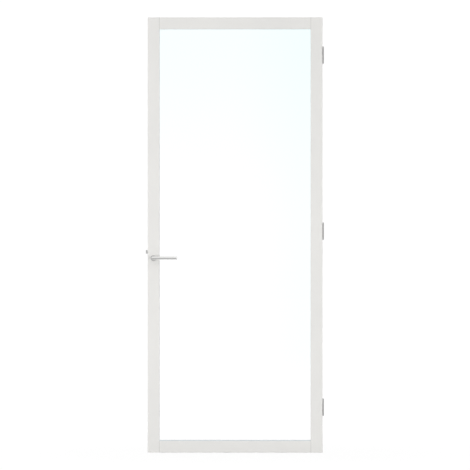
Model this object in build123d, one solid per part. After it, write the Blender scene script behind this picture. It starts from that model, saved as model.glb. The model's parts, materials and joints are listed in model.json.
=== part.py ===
from build123d import *
import math
import os

# Glazed door leaf of hollow extrusions, with butt hinges and a sprung latch.
# X runs from the latch edge to the hinge edge, Y from the front face to the rear, Z up.
# The origin is the middle of the leaf's bottom edge, half way through its thickness.

# Leaf
leaf_w = 930.0
leaf_h = 2315.0
leaf_t = 40.0
sight_w = 62.0

# Hollow frame profile
chamber_w = 48.0
edge_wall = 3.0
wall = 2.4
flange_t = 3.0
edge_r = 0.8
rib_t = 1.5
rib_h = 2.0

# Glazing
glass_t = 6.0
glass_arris = 0.8
glass_gap = 4.0
gasket_t = 3.0
gasket_inset = 1.0
lip_side = 1.0
lip_bottom = 6.0
bead_t = 1.6
block_len = 100.0
block_w = 9.0
block_from_corner = 90.0

# Small screws, posts and their holes are few-sided, which keeps the model light
few_sides = 8
head_land = 0.2

# Clearances
slip = 0.2
snug = 0.05
swing_gap = 0.4

# Corner joints and end caps
cleat_len = 50.0
cleat_wall = 5.0
cleat_end = 8.0
rail_screw_r = 3.0
rail_screw_head_r = 5.5
rail_screw_head_t = 3.5
rail_screw_len = 16.0
rail_screw_pitch = 20.0
plug_r = 7.0
plug_lip = 0.5
plug_flange = 1.5
plug_flange_t = 0.6
cap_t = 3.0
cap_skirt = 3.0
cap_wall = 2.0

# Hinges
hinge_len = 89.0
hinge_from_bottom = 240.0
hinge_from_top = 200.0
knuckle_r = 6.5
pin_r = 4.0
pin_offset = 7.5
pin_head_t = 3.0
pin_tail = 1.5
door_gap = 3.0
plate_inset = 6.0
plate_root = 4.2
washer_t = 1.0
knuckle_gap = 0.3
hinge_screw_r = 2.5
hinge_screw_head_r = 4.6
hinge_hole_y = 18.0
hinge_hole_z = 64.0
backing_t = 4.0
backing_over = 15.0

# Lever axis and spindle
lever_backset = sight_w / 2
lever_z = 1035.0
lever_turn = 36.0
spindle_side = 8.0
spindle_half = 54.0

# Latch case
case_t = 16.0
case_wall = 1.5
case_play = 0.6
case_head = 13.0
case_foot = 9.6
post_r = 3.0
post_inset = 4.0
case_screw_r = 1.5
case_screw_head_r = 2.4
case_screw_len = 8.0
stop_r = 2.5

# Follower
hub_r = 8.0
arm_half = 3.0
arm_reach = 19.4
touch_gap = 0.3

# Latch bolt
head_w = 12.0
head_h = 20.0
head_len = 19.0
bolt_out = 10.5
nose_w = 3.0
shank = 6.0
tail_t = 2.5
guide_t = 1.5
guide_play = 0.2
bolt_clear = 0.6

# Springs
wire_r = 0.45
latch_coil_r = 5.25
latch_turns = 5
return_coil_r = 4.0
return_turns = 7
return_drop = 18.0
seat_r = 2.8
seat_len = 5.0

# Forend
forend_w = 22.0
forend_below = 68.0
forend_above = 92.0
forend_screw_in = 8.0
edge_screw_r = 2.0
edge_screw_head_r = 3.8
bracket_t = 4.0
bracket_w = 30.0
bracket_half = 14.0

# Handle set
bar_r = 8.5
bar_len = 123.5
bar_out = 48.0
bar_end_edge = 0.8
neck_gap = 0.5
lever_bore = 34.0
grub_r = 2.4
grub_out = 18.0
rose_r = 16.0
rose_t = 8.0
rose_wall = 1.5
rose_hole_gap = 0.3
base_t = 4.0
rose_screw_r = 1.5
rose_screw_head_r = 2.4
rose_screw_len = 10.0
stile_bore_r = 7.0

# Planes and edges that several pieces share
front_y = -leaf_t / 2
rear_y = leaf_t / 2
latch_x = -leaf_w / 2
hinge_x = leaf_w / 2
edge_in = latch_x + edge_wall
chamber_x = leaf_w / 2 - chamber_w
glass_front = front_y + flange_t + gasket_t
glass_rear = glass_front + glass_t
bead_front = glass_rear + gasket_t
pane_edge = chamber_w + glass_gap
rib_front = bead_front + bead_t + snug

lever_x = latch_x + lever_backset
lean = math.radians(lever_turn / 2)
bolt_z = lever_z + arm_reach + arm_half + bolt_clear + head_h / 2
tail_low = arm_reach * math.cos(lean)
tail_x = lever_x + arm_half / math.cos(lean) - tail_low * math.tan(lean) + touch_gap
guide_x = tail_x - guide_play - guide_t
head_back = latch_x - bolt_out + head_len

case_half = case_t / 2
case_in = case_half - case_wall
case_front = edge_in + case_wall
case_back = latch_x + chamber_w - wall - case_play
case_top = bolt_z + head_h / 2 + case_head
case_bottom = lever_z - arm_reach - arm_half - case_foot

pin_x = hinge_x + door_gap / 2
pin_y = rear_y + pin_offset
hinge_low = hinge_from_bottom
hinge_high = leaf_h - hinge_from_top
hinge_levels = {"bottom": hinge_low, "middle": (hinge_low + hinge_high) / 2, "top": hinge_high}
plate_front = front_y + plate_inset
hole_mid_y = (plate_front + rear_y) / 2

parts = {}


def block(x, y, z):
    """Box between a pair of limits on each axis."""
    size = [abs(pair[1] - pair[0]) for pair in (x, y, z)]
    middle = [(pair[1] + pair[0]) / 2 for pair in (x, y, z)]
    return Pos(*middle) * Box(*size)


def along(axis, shape, middle, a, b):
    """Shape turned from Z onto an axis, with a and b its place on the other two axes in order."""
    if axis == "x":
        return Pos(middle, a, b) * Rot(0, 90, 0) * shape
    if axis == "y":
        return Pos(a, middle, b) * Rot(90, 0, 0) * shape
    return Pos(a, b, middle) * shape


def rod(axis, radius, limits, a, b):
    """Cylinder along an axis between two limits."""
    length = abs(limits[1] - limits[0])
    return along(axis, Cylinder(radius, length), sum(limits) / 2, a, b)


def peg(axis, radius, limits, a, b):
    """Few-sided rod with its flats on the radius, for small posts, screws and their holes."""
    half = abs(limits[1] - limits[0]) / 2
    outline = RegularPolygon(radius, few_sides, major_radius=False)
    return along(axis, extrude(outline, amount=half, both=True), sum(limits) / 2, a, b)


def facing(origin, outward):
    """Location whose +Z points outward, for anything driven in against that direction."""
    return Plane(origin=origin, z_dir=outward).location


def sunk_head(head_r, taper):
    """Few-sided head down from Z=0, with a short land over a 45 degree taper."""
    head = peg("z", head_r, (-head_land - taper, 0), 0, 0)
    return chamfer(head.edges().group_by(Axis.Z)[0], taper)


def sunk_screw(radius, head_r, length):
    """Countersunk screw driven towards -Z, its top at Z=0."""
    return sunk_head(head_r, head_r - radius) + peg("z", radius, (-length, 0), 0, 0)


def sunk_hole(radius, head_r, depth):
    """Hole for such a screw."""
    return sunk_head(head_r + snug, head_r - radius) + peg("z", radius + snug, (-depth, 0), 0, 0)


def coil(coil_r, turns, length):
    """Compression spring up +Z from Z=0, in straight runs of square wire."""
    corners = turns * few_sides
    rise = (length - 2 * wire_r) / corners
    angles = [2 * math.pi * corner / few_sides for corner in range(corners + 1)]
    points = [(coil_r * math.cos(turn), coil_r * math.sin(turn), wire_r + number * rise)
              for number, turn in enumerate(angles)]
    path = Polyline(*points)
    section = Plane(origin=path @ 0, z_dir=path % 0) * RegularPolygon(wire_r, 4)
    return sweep(section, path=path, transition=Transition.RIGHT)


# Frame profile


def profile_section():
    """Hollow chamber with the front glazing flange, edge at X=0, glass side towards +X."""
    chamber = Pos(chamber_w / 2, 0) * Rectangle(chamber_w, leaf_t)
    flange = Pos(sight_w / 2, front_y + flange_t / 2) * Rectangle(sight_w, flange_t)
    outline = chamber + flange
    corners = [v for v in outline.vertices() if v.X < edge_r or v.X > sight_w - edge_r]
    outline = fillet([v for v in corners if v.Y < front_y + edge_r or v.X < edge_r], edge_r)
    hollow_w = chamber_w - edge_wall - wall
    hollow = Pos(edge_wall + hollow_w / 2, 0) * Rectangle(hollow_w, leaf_t - 2 * wall)
    return outline - hollow


def profile_bar(length, rib_from, rib_to):
    """Frame profile up +Z, with the rib that the glazing bead hooks behind."""
    rib = block((chamber_w, chamber_w + rib_h), (rib_front, rib_front + rib_t), (rib_from, rib_to))
    return extrude(profile_section(), amount=length) + rib


def top_copy(shape):
    """Mirror image of a bottom piece at the top of the leaf."""
    return mirror(shape, about=Plane(origin=(0, 0, leaf_h / 2), z_dir=(0, 0, 1)))


def side_copy(shape):
    """Mirror image of a latch side piece at the hinge side."""
    return mirror(shape, about=Plane.YZ)


def rail_screw_heights():
    """Heights of the screws that hold both rails."""
    middle = (edge_wall + chamber_w - wall) / 2
    low = [middle - rail_screw_pitch / 2, middle + rail_screw_pitch / 2]
    return low + [leaf_h - z for z in low]


def plain_stile():
    """Latch side stile with the rail screw holes and their access holes."""
    stile = Pos(latch_x, 0, 0) * profile_bar(leaf_h, sight_w + slip, leaf_h - sight_w - slip)
    for z in rail_screw_heights():
        stile -= peg("x", rail_screw_r + slip, (-chamber_x - wall - 1, -chamber_x + 1), 0, z)
        stile -= peg("x", plug_r, (latch_x - 1, edge_in + 1), 0, z)
    return stile


def rail(name):
    """Bottom or top rail, its ends coped to pass behind the stiles' front flanges."""
    length = 2 * chamber_x
    gap = rib_h + slip
    bar = Pos(chamber_x, 0, 0) * Rot(0, -90, 0) * profile_bar(length, gap, length - gap)
    face_x = leaf_w / 2 - sight_w
    for side in (-1, 1):
        bar -= block((side * face_x, side * (chamber_x + 1)), (front_y - 1, front_y + flange_t), (-1, sight_w + 1))
    return bar if name == "bottom" else top_copy(bar)


def cleat():
    """Bottom latch side block that fills the rail's end and takes the screws from the stile."""
    x0, x1 = -chamber_x, -chamber_x + cleat_len
    y0, y1 = front_y + max(flange_t, wall) + slip, rear_y - wall - slip
    z0, z1 = edge_wall + slip, chamber_w - wall - slip
    body = block((x0, x1), (y0, y1), (z0, z1))
    inner_y = (y0 + cleat_wall, y1 - cleat_wall)
    body -= block((x0 + cleat_end, x1 + 1), inner_y, (z0 + cleat_wall, z1 - cleat_wall))
    for z in rail_screw_heights()[:2]:
        body -= peg("x", rail_screw_r + snug, (x0 - 1, x0 + cleat_end + 1), 0, z)
    return body


def rail_screw():
    """Pan head screw pointing down, its head standing on Z=0."""
    head = peg("z", rail_screw_head_r, (0, rail_screw_head_t), 0, 0)
    return head + peg("z", rail_screw_r, (-rail_screw_len, 0), 0, 0)


def rail_screws():
    """All eight screws, their heads against the stiles' inner walls."""
    left = [facing((-chamber_x - wall, 0, z), (-1, 0, 0)) * rail_screw() for z in rail_screw_heights()]
    right = [facing((chamber_x + wall, 0, z), (1, 0, 0)) * rail_screw() for z in rail_screw_heights()]
    return Compound(left + right)


def edge_plugs():
    """Snap-in plugs with a thin flange, which close the access holes in both edges of the leaf."""
    lip_top = -edge_wall - snug
    lip = Pos(0, 0, lip_top) * sunk_head(plug_r + plug_lip, plug_lip)
    plug = peg("z", plug_r - snug, (lip_top, 0), 0, 0) + lip
    plug += peg("z", plug_r + plug_flange, (0, plug_flange_t), 0, 0)
    places = [(x, z) for x in (latch_x, hinge_x) for z in rail_screw_heights()]
    return Compound([facing((x, 0, z), (x, 0, 0)) * plug for x, z in places])


def stile_cap():
    """Cap in the bottom end of the latch stile, with a skirt that grips the chamber."""
    x0, x1 = edge_in + slip, -chamber_x - wall - slip
    y1 = leaf_t / 2 - wall - slip
    cap = block((x0, x1), (-y1, y1), (0, cap_t + cap_skirt))
    return cap - block((x0 + cap_wall, x1 - cap_wall), (-y1 + cap_wall, y1 - cap_wall), (cap_t, leaf_t))


# Glazing


def pane_ring(inset, lip, lip_low, y):
    """Rectangular ring from an inset inside the profiles to a lip past their sight line."""
    outer = block((-leaf_w / 2 + inset, leaf_w / 2 - inset), y, (inset, leaf_h - inset))
    side = leaf_w / 2 - sight_w - lip
    return outer - block((-side, side), y, (sight_w + lip_low, leaf_h - sight_w - lip))


def pane():
    """Single pane with arrised edges."""
    x1 = leaf_w / 2 - pane_edge
    glass = block((-x1, x1), (glass_front, glass_rear), (pane_edge, leaf_h - pane_edge))
    return chamfer(glass.edges(), glass_arris)


def bead_section():
    """Open channel that stands on the chamber wall at X=0 and closes the rebate from behind."""
    width, depth = sight_w - chamber_w, rear_y - bead_front
    outer = Pos(width / 2, bead_front + depth / 2) * Rectangle(width, depth)
    outline = fillet([v for v in outer.vertices() if v.X > width / 2 and v.Y > 0], edge_r)
    hollow_w = width - bead_t
    hollow = Pos(hollow_w / 2, bead_front + depth / 2) * Rectangle(hollow_w, depth - 2 * bead_t)
    return outline - hollow


def bead(name):
    """Snap-in glazing bead; the level ones run through and the upright ones fit between them."""
    if name in ("bottom", "top"):
        length = 2 * chamber_x
        level = Pos(chamber_x, 0, chamber_w) * Rot(0, -90, 0) * extrude(bead_section(), amount=length)
        return level if name == "bottom" else top_copy(level)
    upright = Pos(-chamber_x, 0, sight_w) * extrude(bead_section(), amount=leaf_h - 2 * sight_w)
    return upright if name == "latch" else side_copy(upright)


def glazing_block(x, z, upright):
    """Block between the pane's edge and the chamber, centred on x and z along the edge."""
    mid_y = (glass_front + glass_rear) / 2
    y = (mid_y - block_w / 2, mid_y + block_w / 2)
    if upright:
        return block((x, x + math.copysign(glass_gap, -x)), y, (z - block_len / 2, z + block_len / 2))
    return block((x - block_len / 2, x + block_len / 2), y, (z, z + glass_gap))


def setting_blocks():
    """Two blocks that carry the pane's weight."""
    x = leaf_w / 2 - pane_edge - block_from_corner
    return Compound([glazing_block(side * x, chamber_w, False) for side in (-1, 1)])


def spacer_blocks():
    """Six blocks that centre the pane at its top and sides."""
    x = leaf_w / 2 - pane_edge - block_from_corner
    low, high = pane_edge + block_from_corner, leaf_h - pane_edge - block_from_corner
    top = [glazing_block(side * x, leaf_h - chamber_w - glass_gap, False) for side in (-1, 1)]
    sides = [glazing_block(side * chamber_x, z, True) for side in (-1, 1) for z in (low, high)]
    return Compound(top + sides)


# Hinges


def knuckle_spans(level):
    """Height limits of the three knuckles, from the bottom up, and of the washer over the lowest."""
    tall = (hinge_len - washer_t - knuckle_gap) / 3
    low = level - hinge_len / 2
    mid = low + tall + washer_t
    high = mid + tall + knuckle_gap
    return [(z, z + tall) for z in (low, mid, high)], (low + tall, mid)


def hinge_plate(level, side):
    """Plate with its knuckles; side is -1 on the leaf and +1 on the jamb."""
    spans = knuckle_spans(level)[0]
    own = spans[1::2] if side < 0 else spans[0::2]
    near = pin_x + side * door_gap / 2
    far = near + side * edge_wall
    plate = block((near, far), (plate_front, pin_y - plate_root), (level - hinge_len / 2, level + hinge_len / 2))
    plate -= rod("z", knuckle_r + swing_gap, (level - hinge_len, level + hinge_len), pin_x, pin_y)
    bore = pin_r + (snug if side < 0 else slip / 10)
    for z0, z1 in own:
        plate += rod("z", knuckle_r, (z0, z1), pin_x, pin_y)
        plate += block((near, far), (plate_front, pin_y - plate_root), (z0, z1))
    plate -= rod("z", bore, (level - hinge_len, level + hinge_len), pin_x, pin_y)
    sink = sunk_head(hinge_screw_head_r + snug, hinge_screw_head_r - hinge_screw_r - snug)
    hole = peg if side < 0 else rod
    for y, z in hinge_holes(level):
        plate -= hole("x", hinge_screw_r + snug, (near - side, far + side), y, z)
        plate -= facing((near, y, z), (-side, 0, 0)) * sink
    return plate


def hinge_holes(level):
    """Places of a plate's four holes."""
    ys = (hole_mid_y - hinge_hole_y / 2, hole_mid_y + hinge_hole_y / 2)
    return [(y, level + dz) for y in ys for dz in (-hinge_hole_z / 2, hinge_hole_z / 2)]


def hinge_pin(level):
    """Pin with a flat head, resting on the top knuckle."""
    top, low = level + hinge_len / 2, level - hinge_len / 2 - pin_tail
    head = rod("z", knuckle_r, (top, top + pin_head_t), pin_x, pin_y)
    return head + rod("z", pin_r, (low, top), pin_x, pin_y)


def hinge_washers():
    """Thrust washers that carry the leaf's knuckles on the jamb's lower ones."""
    rings = []
    for level in hinge_levels.values():
        span = knuckle_spans(level)[1]
        ring = rod("z", knuckle_r, span, pin_x, pin_y)
        rings.append(ring - rod("z", pin_r + snug, span, pin_x, pin_y))
    return Compound(rings)


def hinge_backing(level):
    """Steel plate inside the hinge stile, overlapping the cut-out above and below."""
    half_z = hinge_len / 2 + backing_over
    half_y = leaf_t / 2 - wall - slip
    x1 = hinge_x - edge_wall
    plate = block((x1 - backing_t, x1), (-half_y, half_y), (level - half_z, level + half_z))
    for y, z in hinge_holes(level):
        plate -= peg("x", hinge_screw_r + snug, (x1 - backing_t - 1, x1 + 1), y, z)
    return plate


def hinge_screws():
    """Twelve screws through the leaf plates into the backing plates."""
    screw = sunk_screw(hinge_screw_r, hinge_screw_head_r, edge_wall + backing_t)
    places = [place for level in hinge_levels.values() for place in hinge_holes(level)]
    return Compound([facing((hinge_x, y, z), (1, 0, 0)) * screw for y, z in places])


def hinge_stile():
    """Stile with a cut-out for each leaf plate, open to the rear face."""
    stile = side_copy(plain_stile())
    half = hinge_len / 2 + slip
    for level in hinge_levels.values():
        cut = block((hinge_x - edge_wall, hinge_x + 1), (plate_front - slip, rear_y + 1), (level - half, level + half))
        stile -= cut
    return stile


# Latch


def latch_stile():
    """Stile with the forend's cut-out, the spindle bores and the screw holes."""
    stile = plain_stile()
    low, high = lever_z - forend_below - slip, lever_z + forend_above + slip
    half_w = forend_w / 2 + slip
    stile -= block((latch_x - 1, edge_in), (-half_w, half_w), (low, high))
    stile -= peg("y", stile_bore_r, (front_y - 1, rear_y + 1), lever_x, lever_z)
    for dz in (-rose_screw_spread(), rose_screw_spread()):
        stile -= peg("y", rose_screw_r + snug, (front_y - 1, rear_y + 1), lever_x, lever_z + dz)
    hole = sunk_hole(edge_screw_r, edge_screw_head_r, edge_wall + 1)
    for y, z in bracket_holes():
        stile -= facing((latch_x, y, z), (-1, 0, 0)) * hole
    return stile


def case_posts():
    """Places of the four posts that take the cover's screws."""
    xs = (case_front + 3 * post_inset, case_back - case_wall - post_inset)
    zs = (case_bottom + case_wall + post_inset, case_top - case_wall - post_inset)
    return [(x, z) for x in xs for z in zs]


def case_anchors():
    """Heights of the two screws from the forend into the case."""
    return (case_bottom + case_wall + post_inset, case_top - case_wall - post_inset)


def stop_places():
    """Places of the two posts that stop the follower's upper arm."""
    out = arm_half + stop_r + guide_play
    along = 0.75 * arm_reach
    dx = along * math.sin(lean) + out * math.cos(lean)
    dz = along * math.cos(lean) - out * math.sin(lean)
    return [(lever_x + side * dx, lever_z + dz) for side in (-1, 1)]


def latch_case():
    """Open tray with the bolt's guide, the posts, the stops and the spring's seat."""
    inner_x, inner_z = (case_front, case_back - case_wall), (case_bottom + case_wall, case_top - case_wall)
    case = block((edge_in, case_back), (-case_half, case_in), (case_bottom, case_top))
    case -= block(inner_x, (-case_in, case_half), inner_z)
    guide_low = bolt_z - head_h / 2 + bolt_clear
    case += block((guide_x, guide_x + guide_t), (-case_in, case_in), (guide_low, bolt_z + head_h / 2))
    half = shank / 2 + guide_play
    case -= block((guide_x - 1, guide_x + guide_t + 1), (-half, case_half), (bolt_z - half, bolt_z + half))
    half_w, half_h = head_w / 2 + guide_play, head_h / 2 + guide_play
    case -= block((edge_in - 1, case_front), (-half_w, case_half), (bolt_z - half_h, bolt_z + half_h))
    for z in case_anchors():
        anchor_x = (case_front, case_front + 2 * post_inset)
        case += block(anchor_x, (-case_in, case_in), (z - post_inset, z + post_inset))
        case -= peg("x", edge_screw_r + snug, (edge_in - 1, anchor_x[1] + 1), 0, z)
    for x, z in case_posts():
        case += peg("y", post_r, (-case_in, case_in), x, z)
        case -= peg("y", case_screw_r + snug, (0, case_half), x, z)
    for x, z in stop_places():
        case += peg("y", stop_r, (-case_in, case_in), x, z)
    case += peg("x", seat_r, (case_front, case_front + seat_len), 0, lever_z - return_drop)
    return case - rod("y", hub_r + snug, (-case_half - 1, case_half), lever_x, lever_z)


def latch_case_cover():
    """Flat lid of the case."""
    cover = block((edge_in, case_back), (case_in, case_half), (case_bottom, case_top))
    cover -= rod("y", hub_r + snug, (0, case_half + 1), lever_x, lever_z)
    hole = sunk_hole(case_screw_r, case_screw_head_r, case_wall + 1)
    for x, z in case_posts():
        cover -= facing((x, case_half, z), (0, 1, 0)) * hole
    return cover


def latch_case_screws():
    """Four screws through the cover into the posts."""
    screw = sunk_screw(case_screw_r, case_screw_head_r, case_screw_len)
    return Compound([facing((x, case_half, z), (0, 1, 0)) * screw for x, z in case_posts()])


def forend_ends():
    """Heights of the two end screws of the forend."""
    return (lever_z - forend_below + forend_screw_in, lever_z + forend_above - forend_screw_in)


def forend():
    """Face strip flush in the leaf's edge, pierced for the bolt."""
    low, high = lever_z - forend_below, lever_z + forend_above
    strip = block((latch_x, edge_in), (-forend_w / 2, forend_w / 2), (low, high))
    half_w, half_h = head_w / 2 + guide_play, head_h / 2 + guide_play
    strip -= block((latch_x - 1, edge_in + 1), (-half_w, half_w), (bolt_z - half_h, bolt_z + half_h))
    hole = sunk_hole(edge_screw_r, edge_screw_head_r, edge_wall + 1)
    for z in forend_ends() + case_anchors():
        strip -= facing((latch_x, 0, z), (-1, 0, 0)) * hole
    return strip


def forend_screws():
    """Two end screws into the brackets and two into the case."""
    short = sunk_screw(edge_screw_r, edge_screw_head_r, edge_wall + bracket_t)
    long = sunk_screw(edge_screw_r, edge_screw_head_r, edge_wall + case_wall + 1.5 * post_inset)
    ends = [facing((latch_x, 0, z), (-1, 0, 0)) * short for z in forend_ends()]
    return Compound(ends + [facing((latch_x, 0, z), (-1, 0, 0)) * long for z in case_anchors()])


def bracket_holes():
    """Places of the screws that hold the two brackets behind the leaf's edge."""
    low, high = lever_z - forend_below - bracket_half / 2, lever_z + forend_above + bracket_half / 2
    return [(y, z) for z in (low, high) for y in (-bracket_w / 4, bracket_w / 4)]


def forend_bracket(name):
    """Plate behind one end of the cut-out, which the forend's end rests on."""
    index = 0 if name == "bottom" else 1
    z = (lever_z - forend_below, lever_z + forend_above)[index]
    half_y = bracket_w / 2
    plate = block((edge_in, edge_in + bracket_t), (-half_y, half_y), (z - bracket_half, z + bracket_half))
    x = (edge_in - 1, edge_in + bracket_t + 1)
    plate -= peg("x", edge_screw_r + snug, x, 0, forend_ends()[index])
    for y, hole_z in bracket_holes()[2 * index : 2 * index + 2]:
        plate -= peg("x", edge_screw_r + snug, x, y, hole_z)
    return plate


def bracket_screws():
    """Four screws through the leaf's edge into the brackets."""
    screw = sunk_screw(edge_screw_r, edge_screw_head_r, edge_wall + bracket_t)
    return Compound([facing((latch_x, y, z), (-1, 0, 0)) * screw for y, z in bracket_holes()])


def latch_bolt():
    """Bevelled head, shank through the guide and tail in front of the follower's arm."""
    tip, half = latch_x - bolt_out, head_w / 2
    face = [(head_back, -half), (head_back, half), (tip, half), (tip, half - nose_w),
            (latch_x - nose_w / 3, -half)]
    head = Pos(0, 0, bolt_z - head_h / 2) * extrude(make_face(Polyline(*face, close=True)), amount=head_h)
    half = shank / 2
    tail_end = tail_x + tail_t
    bar = block((head_back, tail_end), (-half, half), (bolt_z - half, bolt_z + half))
    tail = block((tail_x, tail_end), (-half, half), (lever_z + tail_low, bolt_z))
    return head + bar + tail


def latch_spring():
    """Spring round the shank, between the head and the guide."""
    length = guide_x - head_back
    return Pos(head_back, 0, bolt_z) * Rot(0, 90, 0) * coil(latch_coil_r, latch_turns, length)


def follower_arm():
    """Arm with a round end, pointing up from the axis, as wide as the case allows."""
    y = (guide_play - case_in, case_in - guide_play)
    return block((-arm_half, arm_half), y, (0, arm_reach)) + rod("y", arm_half, y, 0, arm_reach)


def follower():
    """Hub turned by the spindle, with the bolt's arm above and the return spring's arm below."""
    hub = rod("y", hub_r, (-case_half, case_half), 0, 0)
    hub += Rot(0, -lever_turn / 2, 0) * follower_arm()
    hub += Rot(0, 180 - lever_turn / 2, 0) * follower_arm()
    half = spindle_side / 2 + snug
    hub -= block((-half, half), (-case_half - 1, case_half + 1), (-half, half))
    return Pos(lever_x, 0, lever_z) * hub


def follower_spring():
    """Return spring from its seat on the case to the follower's lower arm."""
    upper_edge = return_drop - return_coil_r - wire_r
    arm_x = lever_x + (upper_edge * math.sin(lean) - arm_half) / math.cos(lean)
    length = arm_x - touch_gap - case_front
    spring = coil(return_coil_r, return_turns, length)
    return Pos(case_front, 0, lever_z - return_drop) * Rot(0, 90, 0) * spring


# Handle set


def rose_screw_spread():
    """Distance of the rose screws from the lever's axis."""
    return (bar_r + rose_r - rose_wall) / 2


def spindle():
    """Square bar through the follower into both levers."""
    half = spindle_side / 2
    return block(
        (lever_x - half, lever_x + half), (-spindle_half, spindle_half), (lever_z - half, lever_z + half)
    )


def front_lever():
    """Round bar mitred to its neck, with a square bore for the spindle."""
    start, out = front_y - neck_gap, front_y - bar_out
    path = Polyline((0, start, 0), (0, out, 0), (bar_len, out, 0))
    section = Plane(origin=path @ 0, z_dir=path % 0) * Circle(bar_r)
    lever = sweep(section, path=path, transition=Transition.RIGHT)
    lever = chamfer(lever.edges().filter_by(GeomType.CIRCLE).sort_by(Axis.X)[-1], bar_end_edge)
    half = spindle_side / 2 + snug
    lever -= block((-half, half), (start + 1, start - lever_bore), (-half, half))
    lever -= peg("z", grub_r + snug, (-bar_r - 1, 0), 0, front_y - grub_out)
    return Pos(lever_x, 0, lever_z) * lever


def rear_copy(shape):
    """Mirror image of a front piece behind the leaf."""
    return mirror(shape, about=Plane.XZ)


def grub_screws():
    """One set screw under each neck, tight against the spindle."""
    screw = peg("z", grub_r, (-bar_r + slip, -spindle_side / 2), 0, 0)
    front = Pos(lever_x, front_y - grub_out, lever_z) * screw
    return Compound([front, rear_copy(front)])


def rose_base():
    """Plate screwed to the front face, which guides the lever's neck."""
    radius = rose_r - rose_wall - snug
    y = (front_y - base_t, front_y)
    base = rod("y", radius, y, lever_x, lever_z)
    base -= rod("y", bar_r + snug, (y[0] - 1, y[1] + 1), lever_x, lever_z)
    hole = sunk_hole(rose_screw_r, rose_screw_head_r, base_t + 1)
    for dz in (-rose_screw_spread(), rose_screw_spread()):
        base -= facing((lever_x, y[0], lever_z + dz), (0, -1, 0)) * hole
    return base


def rose_cap():
    """Round cover snapped over the front base."""
    cap = rod("y", rose_r, (front_y - rose_t, front_y), lever_x, lever_z)
    cap -= rod("y", rose_r - rose_wall, (front_y - rose_t + rose_wall, front_y + 1), lever_x, lever_z)
    return cap - rod("y", bar_r + rose_hole_gap, (front_y - rose_t - 1, front_y), lever_x, lever_z)


def rose_screws():
    """Two screws through each base into the stile."""
    screw = sunk_screw(rose_screw_r, rose_screw_head_r, rose_screw_len)
    heights = (lever_z - rose_screw_spread(), lever_z + rose_screw_spread())
    front = [facing((lever_x, front_y - base_t, z), (0, -1, 0)) * screw for z in heights]
    return Compound(front + [rear_copy(s) for s in front])


def build_frame():
    """Stiles, rails and what joins and closes them."""
    parts["latch_stile"] = latch_stile()
    parts["hinge_stile"] = hinge_stile()
    for level in ("bottom", "top"):
        parts[f"{level}_rail"] = rail(level)
        place = (lambda shape: shape) if level == "bottom" else top_copy
        parts[f"corner_block_{level}_latch"] = place(cleat())
        parts[f"corner_block_{level}_hinge"] = place(side_copy(cleat()))
        parts[f"stile_cap_latch_{level}"] = place(stile_cap())
        parts[f"stile_cap_hinge_{level}"] = place(side_copy(stile_cap()))
    parts["rail_screws"] = rail_screws()
    parts["edge_plugs"] = edge_plugs()


def build_glazing():
    """Pane, gaskets, beads and blocks."""
    inset = pane_edge + gasket_inset
    parts["glass_pane"] = pane()
    parts["front_gasket"] = pane_ring(inset, lip_side, lip_bottom, (front_y + flange_t, glass_front))
    parts["rear_gasket"] = pane_ring(inset, lip_side, lip_side, (glass_rear, bead_front))
    for name in ("bottom", "top"):
        parts[f"bead_{name}"] = bead(name)
    for name in ("latch", "hinge"):
        parts[f"bead_{name}_side"] = bead(name)
    parts["setting_blocks"] = setting_blocks()
    parts["spacer_blocks"] = spacer_blocks()


def build_hinges():
    """Three butt hinges and what fixes them."""
    for name, level in hinge_levels.items():
        parts[f"hinge_leaf_plate_{name}"] = hinge_plate(level, -1)
        parts[f"hinge_jamb_plate_{name}"] = hinge_plate(level, 1)
        parts[f"hinge_pin_{name}"] = hinge_pin(level)
        parts[f"hinge_backing_{name}"] = hinge_backing(level)
    parts["hinge_washers"] = hinge_washers()
    parts["hinge_screws"] = hinge_screws()


def build_latch():
    """Case, forend and the moving latch pieces."""
    parts["latch_case"] = latch_case()
    parts["latch_case_cover"] = latch_case_cover()
    parts["latch_case_screws"] = latch_case_screws()
    parts["forend"] = forend()
    parts["forend_screws"] = forend_screws()
    for name in ("bottom", "top"):
        parts[f"forend_bracket_{name}"] = forend_bracket(name)
    parts["bracket_screws"] = bracket_screws()
    parts["latch_bolt"] = latch_bolt()
    parts["latch_spring"] = latch_spring()
    parts["follower"] = follower()
    parts["follower_spring"] = follower_spring()


def build_handles():
    """Spindle, levers and roses on both faces."""
    parts["spindle"] = spindle()
    parts["lever_front"] = front_lever()
    parts["lever_rear"] = rear_copy(front_lever())
    parts["grub_screws"] = grub_screws()
    parts["rose_base_front"] = rose_base()
    parts["rose_base_rear"] = rear_copy(rose_base())
    parts["rose_cap_front"] = rose_cap()
    parts["rose_cap_rear"] = rear_copy(rose_cap())
    parts["rose_screws"] = rose_screws()


os.makedirs("parts", exist_ok=True)
build_frame()
build_glazing()
build_hinges()
build_latch()
build_handles()
for node, shape in parts.items():
    export_step(shape, f"parts/{node}.step")
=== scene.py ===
import json
import math

import bmesh
import bpy
from mathutils import Matrix, Vector


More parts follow.
